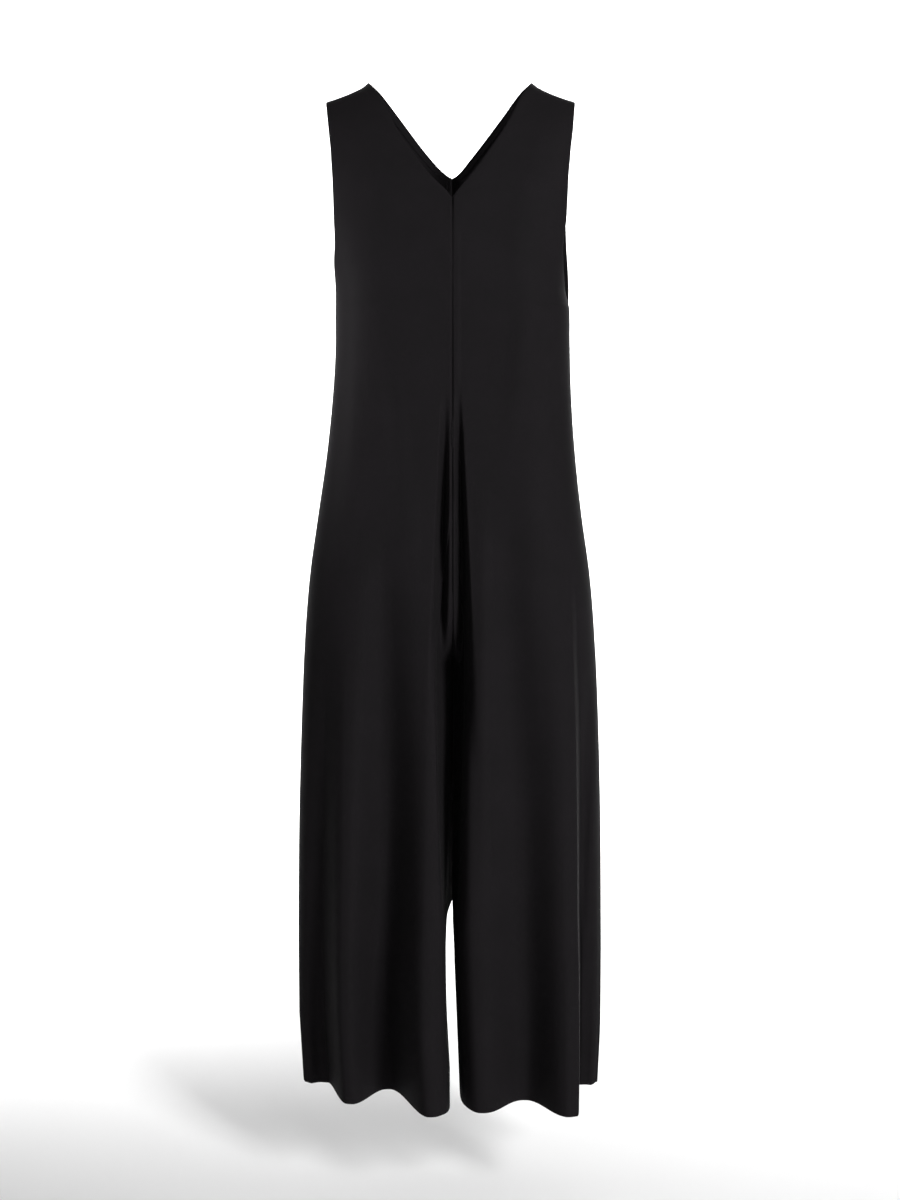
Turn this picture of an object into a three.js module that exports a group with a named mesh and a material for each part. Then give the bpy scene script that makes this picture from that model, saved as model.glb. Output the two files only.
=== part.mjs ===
// A sleeveless jumpsuit with a V neck at front and back and wide, flared legs, hollow as it hangs when worn.
// Four panels run from the shoulder to the hem: front and back, left and right, as the viewer faces the front.
// They meet at the side seams, the shoulder seams, the centre front and back seams and the inseams.
// Millimetres, +Z up, the front faces -Y. The origin is midway between the shoulders, at their height.
import * as THREE from "three";

const WALL = 2; // thickness of the cloth wall, measured inwards from its outer face
const SEAM_GAP = 0.3; // two panels lie this far apart along a seam
const COLUMNS = 30; // faces across each panel, from its outer edge to its inner edge
const CORNER_WIDTH = 0.15; // the inner part of a panel starts at this share of its width from the inner edge
const CORNER_SHARE = 0.8; // and takes the columns beyond this share, so that the others run straight down
const CORNER_STRETCH = 2.2; // the front corner of a leg is this much deeper than wide
const CURVE_POINTS = 60; // points of each stretch of a level's curve, before it is shared out over the columns
const HEM_Z = -1372;
const CROTCH_Z = -765;
const SHOULDER_SAG = 3; // the shoulder seam dips this far below the straight line from neck to tip
const ARMHOLE_Z = -285; // the side seam ends here, at the lowest point of the armhole
const FLUTE_GROWTH = 1.05; // above 1, a flute starts gently at its top and deepens towards the hem
const CREASE_ENDS = 1.3; // above 1, a crease comes and goes gently at its ends
const CLOTH = { color: 0x1c1b1c, roughness: 0.62, metalness: 0 };

// Turns rows of numbers into rows with named columns.
function table(columns, rows) {
  return rows.map((row) => Object.fromEntries(columns.map((name, i) => [name, row[i]])));
}

// The levels of each panel, from the hem to the shoulder seam. A level runs from its outer edge (side seam, then
// armhole) over the flat of the panel to its inner edge (inseam, crotch, centre seam, then neckline).
// The out and in columns are distances from the middle plane, each side's own. Depths are forward of the middle
// for the front and behind it for the back. bend is the exponent of the rounding on the outer side of the flat, and
// the cloth starts where it reaches cutDepth, which is the armhole's edge. At foreDepth the flat turns back, around
// a corner of each side's own width, and runs to inDepth along the inside of the leg, which starts at each side's
// recess from the inner edge. steps is the number of faces from this level to the next.
const LEVEL_COLUMNS = [
  "outZ", "inZ", "leftOut", "rightOut", "outDepth", "cutDepth", "flatDepth", "leftIn", "rightIn", "foreDepth",
  "inDepth", "bend", "leftCorner", "rightCorner", "leftRecess", "rightRecess", "steps",
];
const LEVELS = {
  front: table(LEVEL_COLUMNS, [
    [-1372, -1372, 211.7, 207, -22, -22, 84, 3, 10.5, 84, -5, 2.3, 8, 26, 0, 0, 1],
    [-1270, -1270, 217, 210.2, -20, -20, 86, 8, 6.5, 86, -5, 2.3, 8, 26, 0, 0, 1],
    [-1180, -1180, 217, 210.1, -18, -18, 89, 9, 2.8, 89, -5, 2.3, 8, 26, 0, 0, 1],
    [-1122, -1122, 216.5, 209.4, -16, -16, 91, 7, 0, 91, -5, 2.3, 7, 24, 2, 3, 1],
    [-1098, -1098, 216.2, 209.1, -15, -15, 92, 6, -1.2, 92, -5, 2.3, 5, 20, 6, 8, 1],
    [-980, -980, 213.8, 207, -11, -11, 96, 3.5, -0.6, 96, -5, 2.3, 4, 16, 14, 12, 1],
    [-860, -860, 209.6, 203.2, -7, -7, 100, 1.4, 0.2, 100, -5, 2.3, 4, 14, 19, 15, 1],
    [-765, -765, 205.2, 198.6, -3, -3, 103.2, 0, 0, 103.2, -5, 2.3, 4, 13, 22, 17, 1],
    [-742, -742, 203.8, 197, -2, -2, 104, 0, 0, 104, 45, 2.3, 4, 12, 21, 16, 2],
    [-700, -700, 200.8, 194, -1, -1, 105.4, 0, 0, 105.4, 84, 2.35, 4, 9, 17, 14, 1],
    [-640, -640, 194.8, 188, 0, 0, 106.6, 0, 0, 106.6, 98, 2.4, 4, 7, 11, 10, 1],
    [-560, -560, 183, 176.4, 0, 0, 106, 0, 0, 104, 102, 2.45, 3, 4, 3, 4, 1],
    [-480, -480, 171, 167.4, 0, 0, 102, 0, 0, 102, 102, 2.5, 2, 2, 0, 0, 1],
    [-400, -400, 162.4, 161.6, 0, 0, 100, 0, 0, 101, 101, 2.5, 2, 2, 0, 0, 1],
    [-330, -330, 158.2, 159.4, 0, 0, 104, 0, 0, 106, 106, 2.5, 2, 2, 0, 0, 1],
    [-285, -285, 158, 158.6, 0, 0, 107, 0, 0, 110, 110, 2.5, 2, 2, 0, 0, 1],
    [-278, -276, 157.9, 156.4, 1, 19, 107.2, 0, 0, 110.5, 110.5, 2.48, 2, 2, 0, 0, 1],
    [-256, -248, 159, 152.8, 6, 38, 107, 0, 0, 111, 111, 2.4, 2, 2, 0, 0, 1],
    [-218, -202, 163.6, 153, 27, 57, 102, 0, 0, 107, 107, 2.1, 2, 2, 0, 0, 1],
    [-165, -143, 161.4, 155.6, 54, 64, 91, 0, 0, 94, 94, 1.85, 2, 2, 0, 0, 1],
    [-130, -110, 160.6, 155.4, 56, 61.5, 84.5, 32.5, 27, 87, 87, 1.78, 2, 2, 0, 0, 1],
    [-102, -86, 160.8, 155.8, 57, 59, 76, 49.5, 44.5, 78, 78, 1.7, 2, 2, 0, 0, 1],
    [-76, -56, 162.2, 157.8, 52.5, 53.5, 67, 71, 65, 68.5, 68.5, 1.65, 2, 2, 0, 0, 1],
    [-52, -32, 164.6, 160.4, 46, 46, 56, 83, 79, 57, 57, 1.6, 2, 2, 0, 0, 1],
    [-26, -4, 167.6, 163, 31, 31, 37, 98, 92.5, 38, 38, 1.5, 2, 2, 0, 0, 1],
    [-13, 11, 169.2, 164.4, 16, 16, 17, 108.5, 102.5, 18, 18, 1.5, 2, 2, 0, 0, 1],
    [-9, 17, 169.8, 165, 0, 0, 0, 113, 107, 0, 0, 1.5, 2, 2, 0, 0, 0],
  ]),
  back: table(LEVEL_COLUMNS, [
    [-1372, -1372, 211.7, 207, 22, 22, 96, 3, 10.5, 96, 5, 2.3, 9, 20, 0, 0, 1],
    [-1270, -1270, 217, 210.2, 20, 20, 98, 8, 6.5, 98, 5, 2.3, 9, 20, 0, 0, 1],
    [-1180, -1180, 217, 210.1, 18, 18, 100, 9, 2.8, 100, 5, 2.3, 9, 20, 0, 0, 1],
    [-1122, -1122, 216.5, 209.4, 16, 16, 101.3, 7, 0, 101.3, 5, 2.3, 9, 20, 0, 0, 1],
    [-1098, -1098, 216.2, 209.1, 15, 15, 102, 6, -1.2, 102, 5, 2.3, 9, 20, 0, 0, 1],
    [-980, -980, 213.8, 207, 11, 11, 105, 3.5, -0.6, 105, 5, 2.3, 9, 20, 0, 0, 1],
    [-860, -860, 209.6, 203.2, 7, 7, 109, 1.4, 0.2, 109, 5, 2.3, 9, 20, 0, 0, 1],
    [-765, -765, 205.2, 198.6, 3, 3, 112, 0, 0, 112, 5, 2.3, 9, 20, 0, 0, 1],
    [-742, -742, 203.8, 197, 2, 2, 113, 0, 0, 113, 58, 2.3, 9, 18, 0, 0, 2],
    [-700, -700, 200.8, 194, 1, 1, 113, 0, 0, 113, 95, 2.35, 7.2, 12, 0, 0, 1],
    [-640, -640, 194.8, 188, 0, 0, 109, 0, 0, 109, 103, 2.4, 3, 5, 0, 0, 1],
    [-560, -560, 183, 176.4, 0, 0, 96, 0, 0, 93, 93, 2.45, 2, 2, 0, 0, 1],
    [-480, -480, 171, 167.4, 0, 0, 79, 0, 0, 77, 77, 2.5, 2, 2, 0, 0, 1],
    [-400, -400, 162.4, 161.6, 0, 0, 69, 0, 0, 67, 67, 2.5, 2, 2, 0, 0, 1],
    [-330, -330, 158.2, 159.4, 0, 0, 76, 0, 0, 75, 75, 2.5, 2, 2, 0, 0, 1],
    [-285, -285, 158, 158.6, 0, 0, 83, 0, 0, 83, 83, 2.5, 2, 2, 0, 0, 1],
    [-278, -276, 157.9, 160, 1, 16, 84.2, 0, 0, 84.4, 84.4, 2.48, 2, 2, 0, 0, 1],
    [-256, -248, 158.8, 163.2, 6, 33, 87, 0, 0, 88, 88, 2.4, 2, 2, 0, 0, 1],
    [-218, -202, 162.5, 165.8, 25, 51, 90, 0, 0, 92, 92, 2.1, 2, 2, 0, 0, 1],
    [-165, -148, 162, 160.4, 50, 58, 84, 0, 0, 88, 88, 1.85, 2, 2, 0, 0, 1],
    [-130, -102, 161.5, 158.5, 55, 58, 76, 0, 0, 79, 79, 1.75, 2, 2, 0, 0, 1],
    [-125, -98.5, 161.6, 158.4, 54.9, 57.5, 74.6, 6.5, 6, 77.6, 77.6, 1.74, 2, 2, 0, 0, 1],
    [-102, -78, 162, 158, 54, 54, 67, 28.5, 24.5, 70, 70, 1.7, 2, 2, 0, 0, 1],
    [-52, -22, 165.5, 161, 40, 40, 46, 74, 69.5, 48, 48, 1.6, 2, 2, 0, 0, 1],
    [-26, 0, 168, 163.2, 27, 27, 31, 92, 86.5, 33, 33, 1.5, 2, 2, 0, 0, 1],
    [-13, 11, 169.4, 164.6, 14, 14, 15.5, 103.5, 97.5, 17, 17, 1.5, 2, 2, 0, 0, 1],
    [-9, 17, 169.8, 165, 0, 0, 0, 113, 107, 0, 0, 1.5, 2, 2, 0, 0, 0],
  ]),
};

// The flutes of the hem: each row is a ridge or a valley, with its distance from the middle plane, half the width
// over which it stays level, its depth at the hem, as above, and the height at which it has died away.
const FLUTE_COLUMNS = ["x", "level", "depth", "topZ"];
const FLUTES = {
  front: {
    left: table(FLUTE_COLUMNS, [
      [203, 4, -4, -760],
      [184, 6, -12, -700],
      [141, 5, 80, -690],
      [91, 3, 19, -560],
      [26, 4, 130, -620],
      [6, 0.5, 106, -700],
    ]),
    right: table(FLUTE_COLUMNS, [
      [201, 4, 2, -620],
      [183.5, 4, -4, -640],
      [162.5, 8, 127, -640],
      [100, 4, 62, -700],
      [42, 5, 114, -700],
      [17, 1, 84, -700],
    ]),
  },
  back: {
    left: table(FLUTE_COLUMNS, [
      [196, 4, 60, -820],
      [158, 5, 120, -640],
      [108, 4, 62, -700],
      [58, 6, 122, -600],
      [18, 3, 78, -740],
    ]),
    right: table(FLUTE_COLUMNS, [
      [199, 2, 42, -800],
      [170, 5, 94, -700],
      [138, 4, 66, -820],
      [92, 6, 126, -620],
      [42, 4, 76, -700],
      [20, 2, 86, -700],
    ]),
  },
};

// Soft creases elsewhere, each running up its panel: the distance from the middle plane of its bottom and of its
// top, half its width at both, how far it stands out (or, where negative, sinks in), and its two ends' heights.
const CREASE_COLUMNS = ["bottomX", "topX", "bottomReach", "topReach", "out", "bottomZ", "topZ"];
const CREASES = {
  front: {
    left: table(CREASE_COLUMNS, [
      [20, 9, 15, 7, -25, -840, -395],
      [62, 56, 46, 36, 8, -1080, -480],
    ]),
    right: table(CREASE_COLUMNS, [
      [20, 7, 17, 6, -32, -900, -385],
    ]),
  },
  back: {
    left: table(CREASE_COLUMNS, [
      [38, 30, 28, 20, -7, -860, -620],
    ]),
    right: table(CREASE_COLUMNS, [
      [26, 30, 24, 18, -8, -880, -640],
    ]),
  },
};

// Between the thighs the narrow gap runs slantwise: towards the back both legs swing to the viewer's right.
const SWING = { reach: 9, width: 45, bottomZ: -1138, topZ: -765, fade: 24, frontY: -15, backY: 70 };

const between = (a, b, share) => a + (b - a) * share;

function smooth(share) {
  const s = Math.min(1, Math.max(0, share));
  return s * s * (3 - 2 * s);
}

// The slope of a column at a level, held down so that the curve never overshoots a level. Beside a stretch where
// the column stays the same, it turns at once, and so has one slope downwards and another upwards.
function slopeAt(levels, name, i, upwards) {
  const rise = (k) => (levels[k + 1][name] - levels[k][name]) / (levels[k + 1].outZ - levels[k].outZ);
  if (i === 0) return rise(0);
  if (i === levels.length - 1) return rise(i - 1);
  const [before, after] = [rise(i - 1), rise(i)];
  if (before === 0 || after === 0) return upwards ? after : before;
  if (before * after < 0) return 0;
  const least = 3 * Math.min(Math.abs(before), Math.abs(after));
  return Math.sign(before) * Math.min(Math.abs(before + after) / 2, least);
}

// The rows of a face: its levels, with the rows between them on a smooth curve through every column.
function rowsOf(levels) {
  const rows = [];
  levels.slice(0, -1).forEach((level, i) => {
    const next = levels[i + 1];
    const tall = next.outZ - level.outZ;
    for (let step = 0; step < level.steps; step += 1) {
      const s = step / level.steps;
      const row = {};
      for (const name of LEVEL_COLUMNS) {
        const leave = s * (1 - s) ** 2 * tall * slopeAt(levels, name, i, true);
        const arrive = s ** 2 * (1 - s) * tall * slopeAt(levels, name, i + 1, false);
        row[name] = between(level[name], next[name], smooth(s)) + leave - arrive;
      }
      rows.push(row);
    }
  });
  return [...rows, levels.at(-1)];
}

// The plan of one row, as closely spaced points { x, depth, share } from its outer edge to its inner edge: the
// outer rounding, the flat, the inner corner and the inside of the leg.
function planOf(row, side) {
  const outX = side === "left" ? row.leftOut : row.rightOut;
  const inX = side === "left" ? row.leftIn : row.rightIn;
  const flatX = (outX + inX) / 2;
  const corner = side === "left" ? row.leftCorner : row.rightCorner;
  const wallX = inX + (side === "left" ? row.leftRecess : row.rightRecess);
  const cornerDepth = Math.min(row.foreDepth - row.inDepth, corner * CORNER_STRETCH);
  const cornerX = cornerDepth / CORNER_STRETCH;
  const stretches = [
    (s) => [
      between(flatX, outX, Math.cos((s * Math.PI) / 2) ** (2 / row.bend)),
      between(row.outDepth, row.flatDepth, Math.sin((s * Math.PI) / 2) ** (2 / row.bend)),
    ],
    (s) => [between(flatX, wallX + cornerX, s), between(row.flatDepth, row.foreDepth, smooth(s))],
    (s) => [
      wallX + cornerX * (1 - Math.sin((s * Math.PI) / 2)),
      row.foreDepth - cornerDepth * (1 - Math.cos((s * Math.PI) / 2)),
    ],
    (s) => [between(wallX, inX, smooth(s)), between(row.foreDepth - cornerDepth, row.inDepth, s)],
  ];
  const plan = [];
  let length = 0;
  for (const stretch of stretches) {
    for (let i = plan.length === 0 ? 0 : 1; i <= CURVE_POINTS; i += 1) {
      const [x, depth] = stretch(i / CURVE_POINTS);
      const before = plan.at(-1) ?? { x, depth };
      length += Math.hypot(x - before.x, depth - before.depth);
      if (stretch !== stretches[0] || depth >= row.cutDepth) plan.push({ x, depth, length });
    }
  }
  const start = plan[0].length;
  const turn = plan.find((point) => point.x <= between(inX, outX, CORNER_WIDTH)).length;
  for (const point of plan) {
    const onFlat = (point.length - start) / (turn - start);
    const onInner = (point.length - turn) / (length - turn);
    point.share = point.length < turn ? CORNER_SHARE * onFlat : between(CORNER_SHARE, 1, onInner);
  }
  return plan;
}

// The point of a plan where its x or its share passes a value, on the straight line between two of its points.
function pointWhere(plan, name, value) {
  const rising = plan.at(-1)[name] > plan[0][name];
  let i = 1;
  while (i < plan.length - 1 && (rising ? plan[i][name] < value : plan[i][name] > value)) i += 1;
  const [a, b] = [plan[i - 1], plan[i]];
  const s = Math.min(1, Math.max(0, (value - a[name]) / (b[name] - a[name] || 1)));
  return { x: between(a.x, b.x, s), depth: between(a.depth, b.depth, s), share: between(a.share, b.share, s) };
}

// The flutes of a panel, set out on its hem: the share of the plan where each one lies, how far it moves the cloth
// there, and its place along the fluted hem's own length, which spreads the columns evenly over the flutes.
function flutesOn(hemPlan, flutes) {
  const edges = flutes.flatMap(({ x, level, depth, topZ }) => [
    { x: x + level, depth, topZ },
    { x: x - level, depth, topZ },
  ]);
  const marks = edges.map((edge) => {
    const under = pointWhere(hemPlan, "x", edge.x);
    return { ...edge, share: under.share, move: edge.depth - under.depth };
  });
  const all = [{ ...hemPlan[0], move: 0, topZ: 0 }, ...marks, { ...hemPlan.at(-1), move: 0, topZ: 0 }];
  let length = 0;
  all.forEach((mark, i) => {
    length += i === 0 ? 0 : Math.hypot(mark.x - all[i - 1].x, mark.depth - all[i - 1].depth);
    mark.place = length;
  });
  all.forEach((mark) => (mark.place /= length));
  return all;
}

// How far the flutes move a column at a height, and the share of the plan at which the column lies.
function fluteAt(marks, place, z) {
  const i = Math.max(1, marks.findIndex((mark) => mark.place >= place));
  const [a, b] = [marks[i - 1], marks[i]];
  const s = (place - a.place) / (b.place - a.place);
  const moved = ({ move, topZ }) => move * Math.max(0, (topZ - z) / (topZ - HEM_Z)) ** FLUTE_GROWTH;
  return { share: between(a.share, b.share, s), move: between(moved(a), moved(b), smooth(s)) };
}

function creaseAt(creases, x, z) {
  let move = 0;
  for (const crease of creases) {
    const along = (z - crease.bottomZ) / (crease.topZ - crease.bottomZ);
    const reach = between(crease.bottomReach, crease.topReach, along);
    const off = Math.abs(x - between(crease.bottomX, crease.topX, along)) / reach;
    if (off < 1 && along > 0 && along < 1) {
      move += crease.out * Math.cos((off * Math.PI) / 2) ** 2 * Math.sin(along * Math.PI) ** CREASE_ENDS;
    }
  }
  return move;
}

function swingAt(x, y, z) {
  const height = smooth((z - SWING.bottomZ) / SWING.fade) * smooth((SWING.topZ - z) / SWING.fade);
  const back = smooth((y - SWING.frontY) / (SWING.backY - SWING.frontY));
  return SWING.reach * height * back * Math.exp(-((x / SWING.width) ** 2));
}

// The outer face of a panel, as rows of points from the hem to the shoulder, each from the outer to the inner
// edge. Every panel stands half a seam's gap away from the planes that it meets its neighbours in.
function outerFace(face, side) {
  const marks = flutesOn(planOf(LEVELS[face][0], side), FLUTES[face][side]);
  const sideways = side === "left" ? -1 : 1;
  const forwards = face === "front" ? -1 : 1;
  return rowsOf(LEVELS[face]).map((row) => {
    const plan = planOf(row, side);
    const sag = row.steps === 0 ? SHOULDER_SAG : 0;
    return Array.from({ length: COLUMNS + 1 }, (_, column) => {
      const flute = fluteAt(marks, column / COLUMNS, row.outZ);
      const base = pointWhere(plan, "share", flute.share);
      const depth = base.depth + flute.move + creaseAt(CREASES[face][side], base.x, row.outZ);
      const x = sideways * (base.x + SEAM_GAP / 2);
      const y = forwards * (depth + SEAM_GAP / 2);
      const z = between(row.outZ, row.inZ, flute.share) - sag * Math.sin(flute.share * Math.PI);
      return new THREE.Vector3(x + swingAt(x, y, z), y, z);
    });
  });
}

// The inner face: every point of the outer face, moved in by the wall along the cloth's normal. At a seam it stays
// on the panel's own side of the seam.
function innerFace(outer, face, side) {
  const sideways = side === "left" ? -1 : 1;
  const forwards = face === "front" ? -1 : 1;
  const last = outer.length - 1;
  return outer.map((points, r) =>
    points.map((point, c) => {
      const across = points[Math.min(COLUMNS, c + 1)].clone().sub(points[Math.max(0, c - 1)]);
      const up = outer[Math.min(last, r + 1)][c].clone().sub(outer[Math.max(0, r - 1)][c]);
      const inward = across.cross(up).normalize().multiplyScalar(sideways * forwards * -WALL);
      const inner = point.clone().add(inward);
      const insideSeam = c === COLUMNS && point.z <= CROTCH_Z;
      const keepY = (c === 0 && point.z <= ARMHOLE_Z) || insideSeam || r === last;
      const keepX = c === COLUMNS && point.z >= CROTCH_Z && Math.abs(point.x) < SEAM_GAP;
      if (keepY) inner.y = forwards * Math.max(forwards * inner.y, forwards * point.y);
      if (keepX) inner.x = sideways * Math.max(sideways * inner.x, sideways * point.x);
      return inner;
    }),
  );
}

// A closed wall between the two faces of a panel: both faces, and a rim along each of the four edges.
function wallBetween(outer, inner, face, side) {
  const rows = outer.length;
  const width = COLUMNS + 1;
  const points = [...outer.flat(), ...inner.flat()];
  const triangles = [];
  const outerAt = (r, c) => r * width + c;
  const innerAt = (r, c) => rows * width + r * width + c;
  const turned = (side === "left") !== (face === "front");
  const quad = (a, b, c, d) => triangles.push(...(turned ? [a, c, b, a, d, c] : [a, b, c, a, c, d]));
  for (let r = 0; r < rows - 1; r += 1) {
    for (let c = 0; c < COLUMNS; c += 1) {
      quad(outerAt(r, c), outerAt(r, c + 1), outerAt(r + 1, c + 1), outerAt(r + 1, c));
      quad(innerAt(r, c), innerAt(r + 1, c), innerAt(r + 1, c + 1), innerAt(r, c + 1));
    }
    quad(outerAt(r, 0), outerAt(r + 1, 0), innerAt(r + 1, 0), innerAt(r, 0));
    quad(outerAt(r, COLUMNS), innerAt(r, COLUMNS), innerAt(r + 1, COLUMNS), outerAt(r + 1, COLUMNS));
  }
  for (let c = 0; c < COLUMNS; c += 1) {
    quad(outerAt(0, c), innerAt(0, c), innerAt(0, c + 1), outerAt(0, c + 1));
    quad(outerAt(rows - 1, c), outerAt(rows - 1, c + 1), innerAt(rows - 1, c + 1), innerAt(rows - 1, c));
  }
  const geometry = new THREE.BufferGeometry().setFromPoints(points);
  geometry.setIndex(triangles);
  geometry.computeVertexNormals();
  return geometry;
}

const jumpsuit = new THREE.Group();
for (const face of ["front", "back"]) {
  for (const side of ["left", "right"]) {
    const outer = outerFace(face, side);
    const geometry = wallBetween(outer, innerFace(outer, face, side), face, side);
    const panel = new THREE.Mesh(geometry, new THREE.MeshStandardMaterial(CLOTH));
    panel.name = `${face}_${side}`;
    jumpsuit.add(panel);
  }
}
export default jumpsuit;
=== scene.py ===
"""A black sleeveless jumpsuit with a V neck and wide fluted legs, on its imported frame. Metres, +Z up."""
import bmesh
import bpy
import math
import numpy as np
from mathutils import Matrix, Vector


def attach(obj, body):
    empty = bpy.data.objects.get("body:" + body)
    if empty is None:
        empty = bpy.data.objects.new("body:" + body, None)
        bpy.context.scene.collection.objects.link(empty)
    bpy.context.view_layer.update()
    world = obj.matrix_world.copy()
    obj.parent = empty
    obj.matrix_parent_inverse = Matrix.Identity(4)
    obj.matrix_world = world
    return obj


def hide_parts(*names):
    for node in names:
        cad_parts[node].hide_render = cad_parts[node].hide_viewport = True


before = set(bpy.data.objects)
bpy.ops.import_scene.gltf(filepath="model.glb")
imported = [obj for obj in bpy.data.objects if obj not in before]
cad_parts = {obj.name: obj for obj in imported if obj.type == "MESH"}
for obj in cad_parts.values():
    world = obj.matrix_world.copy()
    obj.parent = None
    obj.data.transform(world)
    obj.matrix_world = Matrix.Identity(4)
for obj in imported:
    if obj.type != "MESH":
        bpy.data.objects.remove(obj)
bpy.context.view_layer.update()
scene = bpy.context.scene

# The camera stands straight in front of the garment, level with its waist and tilted down a little.
# A portrait lens keeps its lines nearly parallel, with white space all round.
CAMERA_DISTANCE = 2.7
CAMERA_ELEVATION = math.radians(6)
CAMERA_TARGET = Vector((-0.0031, 0, -0.682))
LENS_MM = 58.7
SENSOR_MM = 36

camera = bpy.data.objects.new("camera", bpy.data.cameras.new("camera"))
camera.data.sensor_width = SENSOR_MM
camera.data.lens = LENS_MM
towards_camera = Vector((0, -math.cos(CAMERA_ELEVATION), math.sin(CAMERA_ELEVATION)))
camera.location = CAMERA_TARGET + CAMERA_DISTANCE * towards_camera
camera.rotation_euler = (-towards_camera).to_track_quat("-Z", "Y").to_euler()
scene.collection.objects.link(camera)
scene.camera = camera

# The studio is a white paper sweep: a floor 15 cm below the hems, since the garment hangs at the height at
# which it is worn, and a round rise into a tall back wall.
FLOOR_Z = -1.52
SWEEP_WIDTH = 7
SWEEP_FRONT = -6
SWEEP_BACK = 3.2
SWEEP_RADIUS = 1.2
SWEEP_HEIGHT = 6
RISE_STEPS = 24
PAPER = "#f4f4f4"
PAPER_ROUGHNESS = 0.9


def linear(hex_colour):
    """An sRGB hex colour as the linear colour, with alpha, that a shader takes."""
    parts = [int(hex_colour[i : i + 2], 16) / 255 for i in (1, 3, 5)]
    return [c / 12.92 if c <= 0.04045 else ((c + 0.055) / 1.055) ** 2.4 for c in parts] + [1]


def points_of(geometry):
    """The points among the points, edges and faces that an operator made."""
    return [part for part in geometry if isinstance(part, bmesh.types.BMVert)]


paper = bpy.data.materials.new("matt_white_paper")
paper.use_nodes = True
paper_shader = paper.node_tree.nodes["Principled BSDF"]
paper_shader.inputs["Base Color"].default_value = linear(PAPER)
paper_shader.inputs["Roughness"].default_value = PAPER_ROUGHNESS

bm = bmesh.new()
front_edge = bm.edges.new([bm.verts.new((x * SWEEP_WIDTH / 2, SWEEP_FRONT, FLOOR_Z)) for x in (-1, 1)])
floor_end = bmesh.ops.extrude_edge_only(bm, edges=[front_edge])["geom"]
bmesh.ops.translate(bm, verts=points_of(floor_end), vec=(0, SWEEP_BACK - SWEEP_FRONT, 0))
rise_end = bmesh.ops.spin(
    bm,
    geom=floor_end,
    cent=(0, SWEEP_BACK, FLOOR_Z + SWEEP_RADIUS),
    axis=(1, 0, 0),
    angle=math.pi / 2,
    steps=RISE_STEPS,
)["geom_last"]
top_of_rise = [part for part in rise_end if isinstance(part, bmesh.types.BMEdge)]
wall_end = bmesh.ops.extrude_edge_only(bm, edges=top_of_rise)["geom"]
bmesh.ops.translate(bm, verts=points_of(wall_end), vec=(0, 0, SWEEP_HEIGHT))
sweep_mesh = bpy.data.meshes.new("sweep")
bm.to_mesh(sweep_mesh)
bm.free()
sweep_mesh.polygons.foreach_set("use_smooth", [True] * len(sweep_mesh.polygons))
sweep_mesh.materials.append(paper)
sweep = bpy.data.objects.new("sweep", sweep_mesh)
scene.collection.objects.link(sweep)

# The light is soft: a tall softbox at the front right, a small one level with the left side that gives the
# side of the body its sheen, two that only light the paper wall, and a dim white room all round.
SOFTBOXES = [
    # name, place, what it faces, width, height, watts, spread in degrees
    ("key_softbox", (2.3, -3.6, 0.9), (0, 0, -0.7), 1.0, 1.8, 215, 180),
    ("left_softbox", (-0.78, -0.1, -0.3), (-0.15, -0.06, -0.3), 0.15, 0.3, 1.3, 70),
    ("wall_light_left", (-2.2, 1.4, 1.2), (-2.2, 4.4, -0.4), 1.5, 3.0, 330, 180),
    ("wall_light_right", (2.2, 1.4, 1.2), (2.2, 4.4, -0.4), 1.5, 3.0, 330, 180),
]
ROOM = "#ffffff"
ROOM_STRENGTH = 0.25

for name, place, faces, width, height, watts, spread in SOFTBOXES:
    lamp = bpy.data.lights.new(name, "AREA")
    lamp.shape = "RECTANGLE"
    lamp.size = width
    lamp.size_y = height
    lamp.energy = watts
    lamp.spread = math.radians(spread)
    softbox = bpy.data.objects.new(name, lamp)
    softbox.location = place
    softbox.rotation_euler = (Vector(faces) - Vector(place)).to_track_quat("-Z", "Y").to_euler()
    scene.collection.objects.link(softbox)

room = bpy.data.worlds.new("white_room")
room.use_nodes = True
room_light = room.node_tree.nodes["Background"]
room_light.inputs["Color"].default_value = linear(ROOM)
room_light.inputs["Strength"].default_value = ROOM_STRENGTH
scene.world = room
scene.view_settings.view_transform = "Standard"

# The cloth is a fluid polyester crepe, piece-dyed black: matt from the front, with a soft bloom where it
# turns away, because its fine crimped yarns stand up a little from the surface.
MM = 0.001
CREPE_BLACK = "#161516"
CREPE_BLACK_WORN = "#1a181a"
CREPE_ROUGHNESS = 0.62
CREPE_GLOSS = 0.01
CREPE_SHEEN = 0.01
CREPE_SHEEN_ROUGHNESS = 0.4
THREAD_SPACING = 0.9 * MM  # real crepe threads lie 0.25 mm apart, and are drawn coarser so that they show
THREAD_WANDER = 1.5
BAND_AT_SCALE_1 = 0.314  # the width of one band of a wave texture, which here takes two threads
PEBBLE_SIZE = 1.6 * MM
PEBBLE_HEIGHT = 0.06 * MM
PEBBLE_STRENGTH = 0.5
MOTTLE_SIZE = 60 * MM


def node(tree, kind, links=None, **settings):
    """Adds a node with its settings; links maps its inputs to numbers, colours or other nodes' outputs."""
    made = tree.nodes.new(kind)
    for name, value in settings.items():
        setattr(made, name, value)
    for name, value in (links or {}).items():
        if isinstance(value, bpy.types.NodeSocket):
            tree.links.new(value, made.inputs[name])
        else:
            made.inputs[name].default_value = value
    return made


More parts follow.
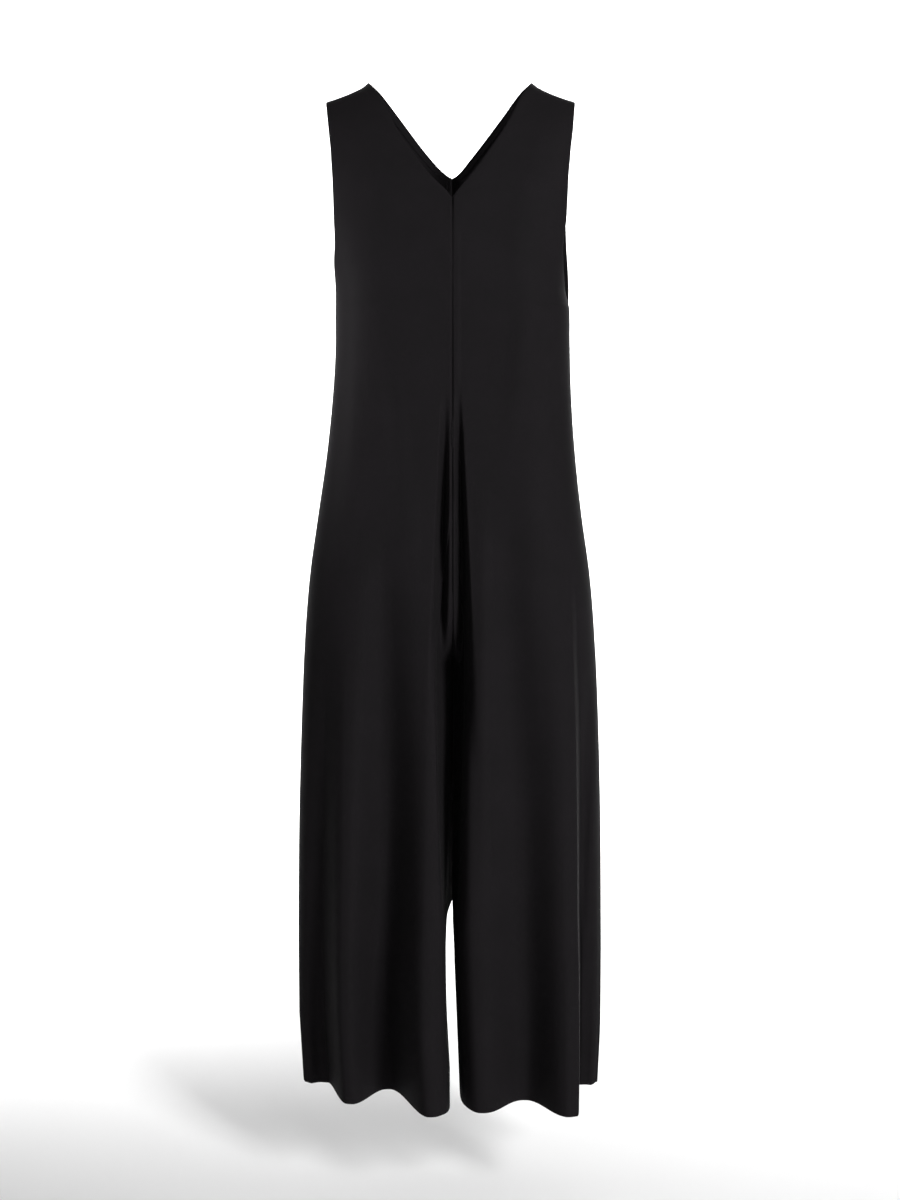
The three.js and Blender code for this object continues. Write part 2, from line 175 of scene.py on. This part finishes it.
crepe = bpy.data.materials.new("black_crepe")
crepe.use_nodes = True
tree = crepe.node_tree
surface = tree.nodes["Principled BSDF"]
on_cloth = node(tree, "ShaderNodeUVMap", uv_map="cloth").outputs["UV"]
mottle = node(tree, "ShaderNodeTexNoise", {"Vector": on_cloth, "Scale": 1 / MOTTLE_SIZE, "Detail": 3.0})
tint = node(
    tree,
    "ShaderNodeMix",
    {"Factor": mottle.outputs["Fac"], "A": linear(CREPE_BLACK), "B": linear(CREPE_BLACK_WORN)},
    data_type="RGBA",
)
pebble = node(tree, "ShaderNodeTexNoise", {"Vector": on_cloth, "Scale": 1 / PEBBLE_SIZE, "Detail": 2.0})
warp = node(
    tree,
    "ShaderNodeTexWave",
    {
        "Vector": on_cloth,
        "Scale": BAND_AT_SCALE_1 / THREAD_SPACING / 2,
        "Distortion": THREAD_WANDER,
        "Detail": 1.0,
    },
    bands_direction="X",
)
weave = node(tree, "ShaderNodeMath", {0: pebble.outputs["Fac"], 1: warp.outputs["Fac"]}, operation="ADD")
relief = node(
    tree,
    "ShaderNodeBump",
    {"Strength": PEBBLE_STRENGTH, "Distance": PEBBLE_HEIGHT, "Height": weave.outputs["Value"]},
)
tree.links.new(tint.outputs["Result"], surface.inputs["Base Color"])
tree.links.new(relief.outputs["Normal"], surface.inputs["Normal"])
surface.inputs["Roughness"].default_value = CREPE_ROUGHNESS
surface.inputs["Specular IOR Level"].default_value = CREPE_GLOSS
surface.inputs["Sheen Weight"].default_value = CREPE_SHEEN
surface.inputs["Sheen Roughness"].default_value = CREPE_SHEEN_ROUGHNESS

# The panels are cut in one from the shoulder to the hem, two for the front and two for the back. Each is
# drawn as its cloth hangs: level by level, from its outer edge (side seam, then armhole) across the flat of
# the panel to its inner edge (inseam, crotch, centre seam, then neckline). Lengths are in millimetres.
COLUMNS = 120
ROW_PITCH = 6
CURVE_POINTS = 120
CORNER_STRETCH = 2.2  # the corner at the inner edge is this many times as deep as it is wide
CORNER_WIDTH = 0.15  # this part of a panel's width, at the inner edge, is the corner's
CORNER_SHARE = 0.8  # the share of a row that is laid out before the corner
HEM_Z = -1372
CROTCH_Z = -765
ARMHOLE_Z = -285
NECK_Z = {-1: -143, 1: -102}  # the lowest point of the V at the front, and at the back
SHOULDER_SAG = 3
FLUTE_ROUNDING = 22  # the turns of the flutes are rounded over this length of the hem
FLUTE_GROWTH = 1.05  # above 1, a flute starts gently at its top and deepens towards the hem
CREASE_ENDS = 1.3  # above 1, a crease comes and goes gently at its ends
SWING = {
    "reach": 9,
    "width": 45,
    "bottom_z": -1138,
    "top_z": -765,
    "fade": 24,
    "front_y": -15,
    "back_y": 70,
}
ROUNDING_STEPS = 9
ROUNDING_SPREAD = 2.2  # at 2 the rounding would fade to nothing at its ends
ROUNDING_OFFSETS = np.linspace(-1, 1, ROUNDING_STEPS)
ROUNDING_FALLOFF = np.cos(ROUNDING_OFFSETS * math.pi / ROUNDING_SPREAD)
ROUNDING_WEIGHTS = ROUNDING_FALLOFF / ROUNDING_FALLOFF.sum()
EDGE_STOPS = np.array([0, 0.6, 1.3, 2.2, 3.5])  # closer rows and columns beside an edge, which is rolled in

# In the tables, sideways columns are distances from the middle plane, and depths are forward of it at the
# front and behind it at the back. At each level the cloth starts at cut_depth on a rounding of exponent
# bend, and turns back at fore_depth around a corner, to in_depth along the inside of the leg, which starts
# at a recess from the inner edge.
LEVEL_COLUMNS = (
    "out_z in_z left_out right_out out_depth cut_depth flat_depth left_in right_in fore_depth in_depth "
    "bend left_corner right_corner left_recess right_recess"
)
FLUTE_COLUMNS = "x level depth top_z"
CREASE_COLUMNS = "bottom_x top_x bottom_reach top_reach out bottom_z top_z"


def table(columns, rows):
    """Rows of numbers as rows with named columns."""
    return [dict(zip(columns.split(), row)) for row in rows]


def between(a, b, share):
    """The value at a share of the way from a to b."""
    return a + (b - a) * share


def smooth(share):
    """A share of the way that starts and ends gently."""
    s = np.clip(share, 0, 1)
    return s * s * (3 - 2 * s)


def slope_at(levels, name, i, upwards):
    """The slope of a column at a level, held down so that the curve never overshoots a level. Beside a
    stretch where the column stays the same it turns at once, with one slope below and another above."""
    rises = [(b[name] - a[name]) / (b["out_z"] - a["out_z"]) for a, b in zip(levels, levels[1:])]
    if i in (0, len(levels) - 1):
        return rises[0] if i == 0 else rises[-1]
    before, after = rises[i - 1], rises[i]
    if before == 0 or after == 0:
        return after if upwards else before
    if before * after < 0:
        return 0
    return math.copysign(min(abs(before + after) / 2, 3 * abs(before), 3 * abs(after)), before)


def rows_of(levels):
    """Every row of a panel, from the hem to the shoulder, on a smooth curve through its levels."""
    rows = []
    for i, (level, above) in enumerate(zip(levels, levels[1:])):
        tall = above["out_z"] - level["out_z"]
        stops = np.linspace(0, 1, max(4, round(tall / ROW_PITCH)), endpoint=False)
        if i == 0:
            stops = np.unique([*stops, *(EDGE_STOPS / tall)])
        for s in stops:
            row = {"sag": SHOULDER_SAG * s if i == len(levels) - 2 else 0}
            for name in level:
                leave = s * (1 - s) ** 2 * tall * slope_at(levels, name, i, True)
                arrive = s**2 * (1 - s) * tall * slope_at(levels, name, i + 1, False)
                row[name] = between(level[name], above[name], smooth(s)) + leave - arrive
            rows.append(row)
    return [*rows, {**levels[-1], "sag": SHOULDER_SAG}]


def plan_of(row, side):
    """The curve of one row seen from above, as close points: their x, depth and share of its length."""
    out_x, in_x = row[side + "_out"], row[side + "_in"]
    flat_x = (out_x + in_x) / 2
    corner_depth = min(row["fore_depth"] - row["in_depth"], row[side + "_corner"] * CORNER_STRETCH)
    corner_x = corner_depth / CORNER_STRETCH
    wall_x = in_x + row[side + "_recess"]
    rise = row["flat_depth"] - row["out_depth"]
    cut = max(0, (row["cut_depth"] - row["out_depth"]) / rise) if rise else 0
    s = np.linspace(0, 1, CURVE_POINTS)
    rounding = between(math.asin(cut ** (row["bend"] / 2)), math.pi / 2, s)
    x = np.concatenate([
        between(flat_x, out_x, np.clip(np.cos(rounding), 0, 1) ** (2 / row["bend"])),
        between(flat_x, wall_x + corner_x, s[1:]),
        wall_x + corner_x * (1 - np.sin(s[1:] * math.pi / 2)),
        between(wall_x, in_x, smooth(s[1:])),
    ])
    depth = np.concatenate([
        between(row["out_depth"], row["flat_depth"], np.sin(rounding) ** (2 / row["bend"])),
        between(row["flat_depth"], row["fore_depth"], smooth(s[1:])),
        row["fore_depth"] - corner_depth * (1 - np.cos(s[1:] * math.pi / 2)),
        between(row["fore_depth"] - corner_depth, row["in_depth"], s[1:]),
    ])
    length = np.concatenate([[0], np.cumsum(np.hypot(np.diff(x), np.diff(depth)))])
    turn = np.interp(-between(in_x, out_x, CORNER_WIDTH), -x, length)
    on_inner = between(CORNER_SHARE, 1, (length - turn) / (length[-1] - turn))
    return x, depth, np.where(length < turn, CORNER_SHARE * length / turn, on_inner)


def next_mark(places, marks):
    """The number of the mark that follows each place along the hem, and the share of the way to it."""
    following = np.clip(np.searchsorted(marks["place"], places), 1, len(marks["place"]) - 1)
    start, end = marks["place"][following - 1], marks["place"][following]
    return following, (places - start) / (end - start)


def rounded(places, marks, moved):
    """How far the flutes move each column: smooth between the marks, with every turn rounded off."""
    reach = FLUTE_ROUNDING / marks["length"]
    reach = reach * smooth(np.minimum(places, 1 - places) / reach)
    total = 0
    for weight, offset in zip(ROUNDING_WEIGHTS, ROUNDING_OFFSETS):
        i, s = next_mark(np.clip(places + offset * reach, 0, 1), marks)
        total = total + weight * between(moved[i - 1], moved[i], smooth(s))
    return total


def flutes_on(hem, flutes):
    """The flutes of a panel, set out on its hem: each edge's share of the plan, how far it moves the cloth,
    and its place along the fluted hem's own length, which spreads the columns evenly over the flutes."""
    x, depth, share = hem
    marks = [(f["x"] + side * f["level"], f["depth"], f["top_z"]) for f in flutes for side in (1, -1)]
    mark_x = np.array([x[0], *[m[0] for m in marks], x[-1]])
    mark_depth = np.array([depth[0], *[m[1] for m in marks], depth[-1]])
    mark_share = np.interp(-mark_x, -x, share)
    mark_share[-1] = 1
    move = mark_depth - np.interp(mark_share, share, depth)
    place = np.concatenate([[0], np.cumsum(np.hypot(np.diff(mark_x), np.diff(mark_depth)))])
    return {
        "share": mark_share,
        "move": np.array([0, *move[1:-1], 0]),
        "top_z": np.array([0, *[m[2] for m in marks], 0]),
        "place": place / place[-1],
        "length": place[-1],
    }


def crease_at(creases, x, z):
    """How far the soft creases move the cloth at a height, for each x."""
    move = np.zeros_like(x)
    for crease in creases:
        along = (z - crease["bottom_z"]) / (crease["top_z"] - crease["bottom_z"])
        if 0 < along < 1:
            reach = between(crease["bottom_reach"], crease["top_reach"], along)
            off = np.clip(np.abs(x - between(crease["bottom_x"], crease["top_x"], along)) / reach, 0, 1)
            ends = math.sin(along * math.pi) ** CREASE_ENDS
            move += crease["out"] * np.cos(off * math.pi / 2) ** 2 * ends
    return move


def swing_at(x, y, z):
    """Between the thighs, behind the front edge, both legs swing a little to the right."""
    height = smooth((z - SWING["bottom_z"]) / SWING["fade"]) * smooth((SWING["top_z"] - z) / SWING["fade"])
    back = smooth((y - SWING["front_y"]) / (SWING["back_y"] - SWING["front_y"]))
    return SWING["reach"] * height * back * np.exp(-((x / SWING["width"]) ** 2))


def hung_face(levels, flutes, creases, side, forwards):
    """The outer face of a panel as it hangs: an array of points by row, from the hem up, and by column."""
    marks = flutes_on(plan_of(levels[0], side), flutes)
    stops = EDGE_STOPS / marks["length"]
    places = np.unique([*np.linspace(0, 1, COLUMNS + 1), *stops, *(1 - stops)])
    i, s = next_mark(places, marks)
    share = between(marks["share"][i - 1], marks["share"][i], s)
    sideways = -1 if side == "left" else 1
    face = []
    for row in rows_of(levels):
        plan_x, plan_depth, plan_share = plan_of(row, side)
        fall = np.clip((marks["top_z"] - row["out_z"]) / (marks["top_z"] - HEM_Z), 0, None) ** FLUTE_GROWTH
        off_middle = np.interp(share, plan_share, plan_x)
        depth = np.interp(share, plan_share, plan_depth)
        depth += rounded(places, marks, marks["move"] * fall) + crease_at(creases, off_middle, row["out_z"])
        x = sideways * off_middle
        y = forwards * depth
        z = between(row["out_z"], row["in_z"], share) - row["sag"] * np.sin(share * math.pi)
        face.append(np.stack([x + swing_at(x, y, z), y, z], axis=1))
    return np.array(face)


def outward_normals(face, turned):
    """The direction in which the cloth faces at every point of an array of points."""
    across = np.gradient(face, axis=1)
    up = np.gradient(face, axis=0)
    normals = np.cross(across, up) * (-1 if turned else 1)
    return normals / np.linalg.norm(normals, axis=2, keepdims=True)


# Every edge of a panel is turned in: the seam allowances are pressed open inside, the armholes and the
# neckline are turned once, and the hem is turned up over them. Along an edge the cloth rolls in a little.
CLOTH_THICKNESS = 0.6
ROLL_DEPTH = 0.8
ROLL_REACH = 3
CENTRE_SEAM = table("z depth", [
    (-760, 3.0),
    (-560, 2.6),
    (-400, 2.4),
    (-310, 1.8),
    (-240, 1.0),
    (-170, 1.8),
    (-143, 3.4),
])
ALLOWANCE_LAYER = 1.3  # the turned layer's face lies this far inside the panel's outer face
HEM_LAYER = 2.0
ALLOWANCE_WIDTH = 10
HEM_WIDTH = 22
TURN_STEPS = 6


def arc_from_start(face, axis):
    """Distance along each row or column of an array of points, from its start."""
    step = np.linalg.norm(np.diff(face, axis=axis), axis=2)
    start = np.zeros_like(np.take(step, [0], axis=axis))
    return np.concatenate([start, np.cumsum(step, axis=axis)], axis=axis)


def turned_in(face, normals, width=ALLOWANCE_WIDTH, layer=ALLOWANCE_LAYER):
    """The layer turned in along the first column: its columns, ordered from the free edge to the fold."""
    arc = arc_from_start(face, 1)
    columns = []
    for reach in np.linspace(width, 0, TURN_STEPS):
        lay = np.empty_like(face[:, 0])
        for r in range(len(face)):
            for k in range(3):
                lay[r, k] = np.interp(reach, arc[r], face[r, :, k] - layer * normals[r, :, k])
        columns.append(lay)
    return np.stack(columns, axis=1)


def rolled_in(face, normals, forwards):
    """The face with its edges rolled in: straight back at the centre seam, and never back at the others."""
    height = face[..., 2]
    across, up = arc_from_start(face, 1), arc_from_start(face, 0)
    from_inner, from_shoulder = across[:, -1:] - across, up[-1:] - up
    from_edge = np.minimum(np.minimum(across, from_inner), np.minimum(up, from_shoulder))
    at_centre_seam = (from_inner < ROLL_REACH) & (height < NECK_Z[forwards]) & (height > CROTCH_Z)
    at_other_seam = (from_edge < ROLL_REACH) & ((height < ARMHOLE_Z) | (from_shoulder < ROLL_REACH))
    at_other_seam &= (up > ROLL_REACH) & ~at_centre_seam
    seam_depth = np.interp(height, [row["z"] for row in CENTRE_SEAM], [row["depth"] for row in CENTRE_SEAM])
    deep = np.where(at_centre_seam, seam_depth, ROLL_DEPTH)
    roll = -normals * (deep * np.clip(1 - from_edge / ROLL_REACH, 0, 1) ** 2)[..., None]
    roll[..., 0][at_centre_seam] = 0
    roll[..., 1][at_other_seam] = 0
    return face + roll


def with_turned_edges(face, normals):
    """The face with a turned layer along each of its four edges. The four corners are left to be cut out."""
    upright, upright_normals = face.swapaxes(0, 1), normals.swapaxes(0, 1)
    outer = turned_in(face, normals)
    inner = turned_in(face[:, ::-1], normals[:, ::-1])[:, ::-1]
    hem = turned_in(upright, upright_normals, HEM_WIDTH, HEM_LAYER)
    shoulder = turned_in(upright[:, ::-1], upright_normals[:, ::-1])[:, ::-1]
    pad = np.zeros((TURN_STEPS, TURN_STEPS, 3))
    return np.concatenate([
        np.concatenate([pad, hem.swapaxes(0, 1), pad], axis=1),
        np.concatenate([outer, face, inner], axis=1),
        np.concatenate([pad, shoulder.swapaxes(0, 1), pad], axis=1),
    ])


def sewn_panel(name, levels, flutes, creases, side, forwards):
    """Makes one panel from its tables: hung, rolled in at its edges, turned in and given its thickness."""
    face = hung_face(levels, flutes, creases, side, forwards)
    turned = (side == "left") != (forwards == -1)
    normals = outward_normals(face, turned)
    whole = with_turned_edges(rolled_in(face, normals, forwards), normals)
    rows, columns = whole.shape[:2]

    bm = bmesh.new()
    bmesh.ops.create_grid(bm, x_segments=columns - 1, y_segments=rows - 1, size=0.5)
    uv = bm.loops.layers.uv.new("cloth")
    spot, corners = {}, []
    for vert in bm.verts:
        r, c = round((vert.co.y + 0.5) * (rows - 1)), round((vert.co.x + 0.5) * (columns - 1))
        spot[vert] = (r, c)
        vert.co = Vector(whole[r, c]) * MM
        if min(r, rows - 1 - r) < TURN_STEPS and min(c, columns - 1 - c) < TURN_STEPS:
            corners.append(vert)
    lay_across, lay_up = arc_from_start(whole, 1) * MM, arc_from_start(whole, 0) * MM
    for bm_face in bm.faces:
        for loop in bm_face.loops:
            loop[uv].uv = (lay_across[spot[loop.vert]], lay_up[spot[loop.vert]])
    bmesh.ops.delete(bm, geom=corners, context="VERTS")
    if turned:
        bmesh.ops.reverse_faces(bm, faces=bm.faces)
    mesh = bpy.data.meshes.new(name)
    bm.to_mesh(mesh)
    bm.free()
    mesh.polygons.foreach_set("use_smooth", [True] * len(mesh.polygons))
    mesh.materials.append(crepe)
    panel = bpy.data.objects.new(f"panel_{name}", mesh)
    scene.collection.objects.link(panel)
    wall = panel.modifiers.new("cloth_thickness", "SOLIDIFY")
    wall.thickness = CLOTH_THICKNESS * MM
    wall.offset = -1
    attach(panel, "root")
    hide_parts(name)


# The front panels meet in one long seam from the V neck to the crotch. They hang straight from the chest,
# curve out over the hips, and their wide legs fall in soft flutes that deepen towards the hem.
FRONT_LEVELS = table(LEVEL_COLUMNS, [
    (-1372, -1372, 211.7, 207, -22, -22, 84, 3, 10.5, 84, -5, 2.3, 8, 26, 0, 0),
    (-1270, -1270, 217, 210.2, -20, -20, 86, 8, 6.5, 86, -5, 2.3, 8, 26, 0, 0),
    (-1180, -1180, 217, 210.1, -18, -18, 89, 9, 2.8, 89, -5, 2.3, 8, 26, 0, 0),
    (-1122, -1122, 216.5, 209.4, -16, -16, 91, 7, 0, 91, -5, 2.3, 7, 24, 2, 3),
    (-1098, -1098, 216.2, 209.1, -15, -15, 92, 6, -1.2, 92, -5, 2.3, 5, 20, 6, 8),
    (-980, -980, 213.8, 207, -11, -11, 96, 3.5, -0.6, 96, -5, 2.3, 4, 16, 14, 12),
    (-860, -860, 209.6, 203.2, -7, -7, 100, 1.4, 0.2, 100, -5, 2.3, 4, 14, 19, 15),
    (-765, -765, 205.2, 198.6, -3, -3, 103.2, 0, 0, 103.2, -5, 2.3, 4, 13, 22, 17),
    (-742, -742, 203.8, 197, -2, -2, 104, 0, 0, 104, 45, 2.3, 4, 12, 21, 16),
    (-700, -700, 200.8, 194, -1, -1, 105.4, 0, 0, 105.4, 84, 2.35, 4, 9, 17, 14),
    (-640, -640, 194.8, 188, 0, 0, 106.6, 0, 0, 106.6, 98, 2.4, 4, 7, 11, 10),
    (-560, -560, 183, 176.4, 0, 0, 106, 0, 0, 104, 102, 2.45, 3, 4, 3, 4),
    (-480, -480, 171, 167.4, 0, 0, 102, 0, 0, 102, 102, 2.5, 2, 2, 0, 0),
    (-400, -400, 162.4, 161.6, 0, 0, 100, 0, 0, 101, 101, 2.5, 2, 2, 0, 0),
    (-330, -330, 158.2, 159.4, 0, 0, 104, 0, 0, 106, 106, 2.5, 2, 2, 0, 0),
    (-285, -285, 158, 158.6, 0, 0, 107, 0, 0, 110, 110, 2.5, 2, 2, 0, 0),
    (-278, -276, 157.9, 156.4, 1, 19, 107.2, 0, 0, 110.5, 110.5, 2.48, 2, 2, 0, 0),
    (-256, -248, 159, 152.8, 6, 38, 107, 0, 0, 111, 111, 2.4, 2, 2, 0, 0),
    (-218, -202, 163.6, 153, 27, 57, 102, 0, 0, 107, 107, 2.1, 2, 2, 0, 0),
    (-165, -143, 161.4, 155.6, 54, 64, 91, 0, 0, 94, 94, 1.85, 2, 2, 0, 0),
    (-130, -110, 160.6, 155.4, 56, 61.5, 84.5, 32.5, 27, 87, 87, 1.78, 2, 2, 0, 0),
    (-102, -86, 160.8, 155.8, 57, 59, 76, 49.5, 44.5, 78, 78, 1.7, 2, 2, 0, 0),
    (-76, -56, 162.2, 157.8, 52.5, 53.5, 67, 71, 65, 68.5, 68.5, 1.65, 2, 2, 0, 0),
    (-52, -32, 164.6, 160.4, 46, 46, 56, 83, 79, 57, 57, 1.6, 2, 2, 0, 0),
    (-26, -4, 167.6, 163, 31, 31, 37, 98, 92.5, 38, 38, 1.5, 2, 2, 0, 0),
    (-13, 11, 169.2, 164.4, 16, 16, 17, 108.5, 102.5, 18, 18, 1.5, 2, 2, 0, 0),
    (-9, 17, 169.8, 165, 0, 0, 0, 113, 107, 0, 0, 1.5, 2, 2, 0, 0),
])
sewn_panel(
    "front_left",
    FRONT_LEVELS,
    table(FLUTE_COLUMNS, [
        (203, 4, -4, -760),
        (184, 6, -12, -700),
        (141, 5, 80, -690),
        (91, 3, 19, -560),
        (26, 4, 130, -620),
        (6, 0.5, 106, -700),
    ]),
    table(CREASE_COLUMNS, [
        (20, 9, 15, 7, -25, -840, -395),
        (62, 56, 46, 36, 8, -1080, -480),
        (28, 26, 20, 16, 2, -1060, -470),
        (112, 96, 46, 34, -3, -640, -330),
        (60, 84, 26, 18, 1.6, -620, -300),
        (150, 140, 18, 14, -1.5, -560, -330),
    ]),
    side="left",
    forwards=-1,
)
sewn_panel(
    "front_right",
    FRONT_LEVELS,
    table(FLUTE_COLUMNS, [
        (201, 4, 2, -620),
        (183.5, 4, -4, -640),
        (162.5, 8, 127, -640),
        (100, 4, 62, -700),
        (42, 5, 114, -700),
        (17, 1, 84, -700),
    ]),
    table(CREASE_COLUMNS, [
        (20, 7, 17, 6, -32, -900, -385),
        (6, 6, 6, 6, 1.4, -470, -180),
        (48, 38, 22, 14, 3.5, -1100, -470),
        (80, 74, 44, 32, -6, -1040, -470),
        (70, 96, 24, 18, 1.5, -520, -260),
        (148, 136, 20, 12, -1.6, -600, -340),
        (177, 187, 8, 14, -8, -1240, -720),
    ]),
    side="right",
    forwards=-1,
)

# The back panels are cut like the front ones, with a higher V, and hang closer in at the waist and fuller
# over the seat. Their flutes are their own, as no two legs fall alike.
BACK_LEVELS = table(LEVEL_COLUMNS, [
    (-1372, -1372, 211.7, 207, 22, 22, 96, 3, 10.5, 96, 5, 2.3, 9, 20, 0, 0),
    (-1270, -1270, 217, 210.2, 20, 20, 98, 8, 6.5, 98, 5, 2.3, 9, 20, 0, 0),
    (-1180, -1180, 217, 210.1, 18, 18, 100, 9, 2.8, 100, 5, 2.3, 9, 20, 0, 0),
    (-1122, -1122, 216.5, 209.4, 16, 16, 101.3, 7, 0, 101.3, 5, 2.3, 9, 20, 0, 0),
    (-1098, -1098, 216.2, 209.1, 15, 15, 102, 6, -1.2, 102, 5, 2.3, 9, 20, 0, 0),
    (-980, -980, 213.8, 207, 11, 11, 105, 3.5, -0.6, 105, 5, 2.3, 9, 20, 0, 0),
    (-860, -860, 209.6, 203.2, 7, 7, 109, 1.4, 0.2, 109, 5, 2.3, 9, 20, 0, 0),
    (-765, -765, 205.2, 198.6, 3, 3, 112, 0, 0, 112, 5, 2.3, 9, 20, 0, 0),
    (-742, -742, 203.8, 197, 2, 2, 113, 0, 0, 113, 58, 2.3, 9, 18, 0, 0),
    (-700, -700, 200.8, 194, 1, 1, 113, 0, 0, 113, 95, 2.35, 7.2, 12, 0, 0),
    (-640, -640, 194.8, 188, 0, 0, 109, 0, 0, 109, 103, 2.4, 3, 5, 0, 0),
    (-560, -560, 183, 176.4, 0, 0, 96, 0, 0, 93, 93, 2.45, 2, 2, 0, 0),
    (-480, -480, 171, 167.4, 0, 0, 79, 0, 0, 77, 77, 2.5, 2, 2, 0, 0),
    (-400, -400, 162.4, 161.6, 0, 0, 69, 0, 0, 67, 67, 2.5, 2, 2, 0, 0),
    (-330, -330, 158.2, 159.4, 0, 0, 76, 0, 0, 75, 75, 2.5, 2, 2, 0, 0),
    (-285, -285, 158, 158.6, 0, 0, 83, 0, 0, 83, 83, 2.5, 2, 2, 0, 0),
    (-278, -276, 157.9, 160, 1, 16, 84.2, 0, 0, 84.4, 84.4, 2.48, 2, 2, 0, 0),
    (-256, -248, 158.8, 163.2, 6, 33, 87, 0, 0, 88, 88, 2.4, 2, 2, 0, 0),
    (-218, -202, 162.5, 165.8, 25, 51, 90, 0, 0, 92, 92, 2.1, 2, 2, 0, 0),
    (-165, -148, 162, 160.4, 50, 58, 84, 0, 0, 88, 88, 1.85, 2, 2, 0, 0),
    (-130, -102, 161.5, 158.5, 55, 58, 76, 0, 0, 79, 79, 1.75, 2, 2, 0, 0),
    (-125, -98.5, 161.6, 158.4, 54.9, 57.5, 74.6, 6.5, 6, 77.6, 77.6, 1.74, 2, 2, 0, 0),
    (-102, -78, 162, 158, 54, 54, 67, 28.5, 24.5, 70, 70, 1.7, 2, 2, 0, 0),
    (-52, -22, 165.5, 161, 40, 40, 46, 74, 69.5, 48, 48, 1.6, 2, 2, 0, 0),
    (-26, 0, 168, 163.2, 27, 27, 31, 92, 86.5, 33, 33, 1.5, 2, 2, 0, 0),
    (-13, 11, 169.4, 164.6, 14, 14, 15.5, 103.5, 97.5, 17, 17, 1.5, 2, 2, 0, 0),
    (-9, 17, 169.8, 165, 0, 0, 0, 113, 107, 0, 0, 1.5, 2, 2, 0, 0),
])
sewn_panel(
    "back_left",
    BACK_LEVELS,
    table(FLUTE_COLUMNS, [
        (196, 4, 60, -820),
        (158, 5, 120, -640),
        (108, 4, 62, -700),
        (58, 6, 122, -600),
        (18, 3, 78, -740),
    ]),
    table(CREASE_COLUMNS, [
        (38, 30, 28, 20, -7, -860, -620),
        (20, 14, 18, 10, -3, -620, -320),
        (96, 70, 30, 22, 3, -700, -430),
        (128, 112, 26, 16, -3.5, -640, -330),
        (60, 52, 22, 16, 2, -420, -180),
    ]),
    side="left",
    forwards=1,
)
sewn_panel(
    "back_right",
    BACK_LEVELS,
    table(FLUTE_COLUMNS, [
        (199, 2, 42, -800),
        (170, 5, 94, -700),
        (138, 4, 66, -820),
        (92, 6, 126, -620),
        (42, 4, 76, -700),
        (20, 2, 86, -700),
    ]),
    table(CREASE_COLUMNS, [
        (26, 30, 24, 18, -8, -880, -640),
        (24, 12, 16, 9, -2.5, -640, -360),
        (88, 78, 34, 24, 3.5, -680, -400),
        (132, 104, 24, 16, -4, -600, -300),
        (54, 62, 20, 18, 2, -390, -170),
    ]),
    side="right",
    forwards=1,
)
